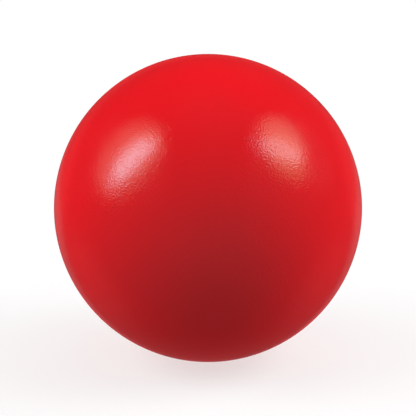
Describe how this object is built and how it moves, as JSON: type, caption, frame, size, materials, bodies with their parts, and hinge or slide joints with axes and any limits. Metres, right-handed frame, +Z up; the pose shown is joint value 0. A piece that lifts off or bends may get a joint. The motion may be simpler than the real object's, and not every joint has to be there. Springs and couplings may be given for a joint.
{
  "type": "playground rubber ball",
  "caption": "Round inflated red rubber ball with a smooth fine-grained cover and a flush needle valve, for playground throwing, kicking and bouncing games.",
  "frame": {"origin": "centre of the ball", "axes": "+Z up, +Y along the valve's axis and out through it, so the valve is at the back of a ball that is looked at along +Y"},
  "size_m": [0.216, 0.2158, 0.216],
  "materials": {
    "cover_rubber": "semi-gloss with a very fine even grain",
    "winding_yarn": "wound yarn set in latex",
    "bladder_rubber": "satin",
    "housing_rubber": "satin, smooth",
    "patch_rubber": "matt",
    "plug_rubber": "satin",
    "core_rubber": "satin, translucent gum"
  },
  "bodies": {
    "ball": {"outer_cover": "cover_rubber", "thread_winding": "winding_yarn", "bladder": "bladder_rubber", "valve_housing": "housing_rubber", "valve_patch": "patch_rubber", "balance_patch": "patch_rubber"},
    "plug": {"valve_plug": "plug_rubber", "sealing_core": "core_rubber"}
  },
  "joints": [
    {"name": "plug_slide", "type": "slide", "parent": "ball", "child": "plug", "axis": [0, 1, 0], "range_m": [0, 0.03]}
  ]
}
